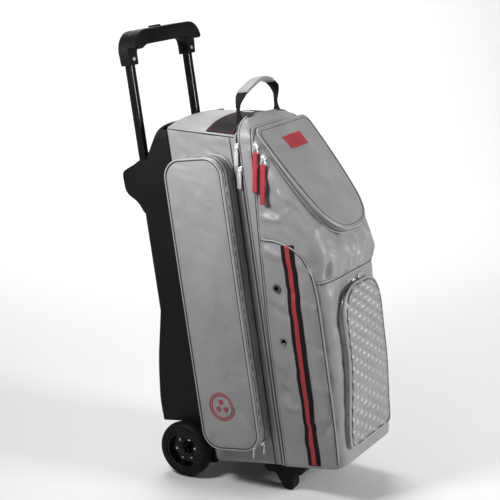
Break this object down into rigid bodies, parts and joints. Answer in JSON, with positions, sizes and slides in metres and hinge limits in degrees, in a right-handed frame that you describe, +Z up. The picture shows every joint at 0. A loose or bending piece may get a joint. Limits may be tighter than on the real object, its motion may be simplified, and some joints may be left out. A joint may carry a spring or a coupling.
{
  "type": "bowling ball roller bag",
  "caption": "Upright fabric roller bag for bowling balls: moulded back board, telescopic handle, wheels, front foot, and a hinged front door with a shoe compartment and pockets.",
  "frame": {"origin": "middle of the base of the bounding box, on the floor that the wheels and the front foot stand on", "axes": "+Z up, -Y towards the front door, +Y towards the wheels and the telescopic handle, +X to the right seen from the front. The bag leans back by 9.2 degrees as it stands"},
  "size_m": [0.352, 0.597, 0.9908],
  "materials": {
    "black_plastic": "moulded, fine grain",
    "black_metal": "black, glossy",
    "grip_plastic": "moulded, satin",
    "tyre": "smooth",
    "rim": "glossy",
    "steel": "zinc plated",
    "chrome": "polished",
    "grey_fabric": "coated polyester weave",
    "quilted_fabric": "diamond quilted",
    "black_webbing": "woven webbing",
    "red_webbing": "woven ribbon",
    "foam": "foam pad"
  },
  "bodies": {
    "bag": {"back_board": "black_plastic", "fabric_case": "grey_fabric", "ball_cradle_lower": "foam", "ball_cradle_middle": "foam", "ball_cradle_upper": "foam", "outer_tube_left": "black_metal", "outer_tube_right": "black_metal", "front_foot": "black_plastic", "axle": "steel", "axle_cap_left": "steel", "axle_cap_right": "steel", "wheel_washer_left": "steel", "wheel_washer_right": "steel", "side_pocket_left": "grey_fabric", "side_pocket_right": "grey_fabric", "carry_anchor_left": "black_webbing", "carry_anchor_right": "black_webbing"},
    "handle": {"inner_tube_left": "black_metal", "inner_tube_right": "black_metal", "grip_front_shell": "grip_plastic", "grip_rear_shell": "grip_plastic", "grip_rivet_left": "chrome", "grip_rivet_right": "chrome"},
    "release": {"grip_button": "grip_plastic", "release_rod": "steel"},
    "wheel_left": {"wheel_tyre_left": "tyre", "wheel_rim_left": "rim"},
    "wheel_right": {"wheel_tyre_right": "tyre", "wheel_rim_right": "rim"},
    "door": {"door_shell": "grey_fabric", "grommet_left_1": "chrome", "grommet_left_2": "chrome", "grommet_right_1": "chrome", "grommet_right_2": "chrome"},
    "top_lid": {"top_pocket_lid": "grey_fabric"},
    "quilted_lid": {"quilted_lid": "quilted_fabric"},
    "side_lid_left": {"side_lid_left": "grey_fabric"},
    "side_lid_right": {"side_lid_right": "grey_fabric"},
    "carry_handle": {"carry_strap": "black_webbing", "carry_sleeve": "grey_fabric"},
    "main_zip_upper_slider": {"main_zip_upper_slider": "chrome"},
    "main_zip_upper_pull": {"main_zip_upper_pull": "chrome"},
    "main_zip_lower_slider": {"main_zip_lower_slider": "chrome"},
    "main_zip_lower_pull": {"main_zip_lower_pull": "chrome"},
    "top_zip_upper_slider": {"top_zip_upper_slider": "chrome"},
    "top_zip_upper_pull": {"top_zip_upper_pull": "red_webbing"},
    "top_zip_lower_slider": {"top_zip_lower_slider": "chrome"},
    "top_zip_lower_pull": {"top_zip_lower_pull": "red_webbing"},
    "shoe_zip_left_slider": {"shoe_zip_left_slider": "chrome"},
    "shoe_zip_left_pull": {"shoe_zip_left_pull": "chrome"},
    "shoe_zip_right_slider": {"shoe_zip_right_slider": "chrome"},
    "shoe_zip_right_pull": {"shoe_zip_right_pull": "chrome"},
    "side_zip_left_front_slider": {"side_zip_left_front_slider": "chrome"},
    "side_zip_left_front_pull": {"side_zip_left_front_pull": "chrome"},
    "side_zip_left_rear_slider": {"side_zip_left_rear_slider": "chrome"},
    "side_zip_left_rear_pull": {"side_zip_left_rear_pull": "chrome"},
    "side_zip_right_front_slider": {"side_zip_right_front_slider": "chrome"},
    "side_zip_right_front_pull": {"side_zip_right_front_pull": "chrome"},
    "side_zip_right_rear_slider": {"side_zip_right_rear_slider": "chrome"},
    "side_zip_right_rear_pull": {"side_zip_right_rear_pull": "chrome"}
  },
  "joints": [
    {"name": "handle_slide", "type": "slide", "parent": "bag", "child": "handle", "axis": [0, 0.1599, 0.9871], "range_m": [-0.2, 0]},
    {"name": "button_press", "type": "slide", "parent": "handle", "child": "release", "axis": [0, -0.1599, -0.9871], "range_m": [0, 0.0035], "stiffness_N_per_m": 500, "springref_m": -0.006},
    {"name": "wheel_left_spin", "type": "hinge", "parent": "bag", "child": "wheel_left", "pos_m": [-0.1465, 0.11808, 0.0635], "axis": [1, 0, 0], "continuous": true},
    {"name": "wheel_right_spin", "type": "hinge", "parent": "bag", "child": "wheel_right", "pos_m": [0.1465, 0.11808, 0.0635], "axis": [1, 0, 0], "continuous": true},
    {"name": "door_hinge", "type": "hinge", "parent": "bag", "child": "door", "pos_m": [0, -0.16937, 0.07131], "axis": [1, 0, 0], "range_deg": [0, 45]},
    {"name": "top_lid_hinge", "type": "hinge", "parent": "door", "child": "top_lid", "pos_m": [0, -0.05118, 0.80241], "axis": [-1, 0, 0], "range_deg": [0, 110]},
    {"name": "quilted_lid_hinge", "type": "hinge", "parent": "door", "child": "quilted_lid", "pos_m": [0, -0.26311, 0.12423], "axis": [1, 0, 0], "range_deg": [0, 95]},
    {"name": "side_lid_left_hinge", "type": "hinge", "parent": "bag", "child": "side_lid_left", "pos_m": [-0.165, 0.10018, 0.40019], "axis": [0, -0.1599, -0.9871], "range_deg": [0, 100]},
    {"name": "side_lid_right_hinge", "type": "hinge", "parent": "bag", "child": "side_lid_right", "pos_m": [0.165, 0.10018, 0.40019], "axis": [0, 0.1599, 0.9871], "range_deg": [0, 100]},
    {"name": "carry_hinge", "type": "hinge", "parent": "bag", "child": "carry_handle", "pos_m": [0, 0.02211, 0.84388], "axis": [1, 0, 0], "range_deg": [-60, 60]},
    {"name": "main_zip_upper_run", "type": "slide", "parent": "bag", "child": "main_zip_upper_slider", "axis": [0, 0.1599, 0.9871], "range_m": [0, 0.02]},
    {"name": "main_zip_upper_swing", "type": "hinge", "parent": "main_zip_upper_slider", "child": "main_zip_upper_pull", "pos_m": [-0.131, -0.00498, 0.76419], "axis": [0, 1, 0], "range_deg": [0, 150]},
    {"name": "main_zip_lower_run", "type": "slide", "parent": "bag", "child": "main_zip_lower_slider", "axis": [0, 0.1599, 0.9871], "range_m": [-0.56, 0]},
    {"name": "main_zip_lower_swing", "type": "hinge", "parent": "main_zip_lower_slider", "child": "main_zip_lower_pull", "pos_m": [-0.131, -0.01281, 0.71582], "axis": [0, 1, 0], "range_deg": [0, 150]},
    {"name": "top_zip_upper_run", "type": "slide", "parent": "door", "child": "top_zip_upper_slider", "axis": [0, 0.621, 0.7838], "range_m": [0, 0.02]},
    {"name": "top_zip_upper_swing", "type": "hinge", "parent": "top_zip_upper_slider", "child": "top_zip_upper_pull", "pos_m": [-0.131, -0.05083, 0.77145], "axis": [0, 1, 0], "range_deg": [0, 150]},
    {"name": "top_zip_lower_run", "type": "slide", "parent": "door", "child": "top_zip_lower_slider", "axis": [0, 0.621, 0.7838], "range_m": [-0.12, 0]},
    {"name": "top_zip_lower_swing", "type": "hinge", "parent": "top_zip_lower_slider", "child": "top_zip_lower_pull", "pos_m": [-0.131, -0.06946, 0.74794], "axis": [0, 1, 0], "range_deg": [0, 150]},
    {"name": "shoe_zip_left_run", "type": "slide", "parent": "quilted_lid", "child": "shoe_zip_left_slider", "axis": [1, 0, 0], "range_m": [-0.02, 0]},
    {"name": "shoe_zip_left_swing", "type": "hinge", "parent": "shoe_zip_left_slider", "child": "shoe_zip_left_pull", "pos_m": [-0.014, -0.22332, 0.48247], "axis": [0, 0.9871, -0.1599], "range_deg": [0, 90]},
    {"name": "shoe_zip_right_run", "type": "slide", "parent": "quilted_lid", "child": "shoe_zip_right_slider", "axis": [-1, 0, 0], "range_m": [-0.02, 0]},
    {"name": "shoe_zip_right_swing", "type": "hinge", "parent": "shoe_zip_right_slider", "child": "shoe_zip_right_pull", "pos_m": [0.014, -0.22332, 0.48247], "axis": [0, -0.9871, 0.1599], "range_deg": [0, 90]},
    {"name": "side_zip_left_front_run", "type": "slide", "parent": "bag", "child": "side_zip_left_front_slider", "axis": [0, -0.585, 0.8111], "range_m": [0, 0.012]},
    {"name": "side_zip_left_front_swing", "type": "hinge", "parent": "side_zip_left_front_slider", "child": "side_zip_left_front_pull", "pos_m": [-0.1445, -0.08365, 0.11547], "axis": [-1, 0, 0], "range_deg": [-20, 80]},
    {"name": "side_zip_left_rear_run", "type": "slide", "parent": "bag", "child": "side_zip_left_rear_slider", "axis": [0, 0.9871, -0.1599], "range_m": [0, 0.055]},
    {"name": "side_zip_left_rear_swing", "type": "hinge", "parent": "side_zip_left_rear_slider", "child": "side_zip_left_rear_pull", "pos_m": [-0.1445, -0.057, 0.09895], "axis": [1, 0, 0], "range_deg": [-20, 80]},
    {"name": "side_zip_right_front_run", "type": "slide", "parent": "bag", "child": "side_zip_right_front_slider", "axis": [0, -0.585, 0.8111], "range_m": [0, 0.012]},
    {"name": "side_zip_right_front_swing", "type": "hinge", "parent": "side_zip_right_front_slider", "child": "side_zip_right_front_pull", "pos_m": [0.1445, -0.08365, 0.11547], "axis": [-1, 0, 0], "range_deg": [-20, 80]},
    {"name": "side_zip_right_rear_run", "type": "slide", "parent": "bag", "child": "side_zip_right_rear_slider", "axis": [0, 0.9871, -0.1599], "range_m": [0, 0.055]},
    {"name": "side_zip_right_rear_swing", "type": "hinge", "parent": "side_zip_right_rear_slider", "child": "side_zip_right_rear_pull", "pos_m": [0.1445, -0.057, 0.09895], "axis": [1, 0, 0], "range_deg": [-20, 80]}
  ]
}
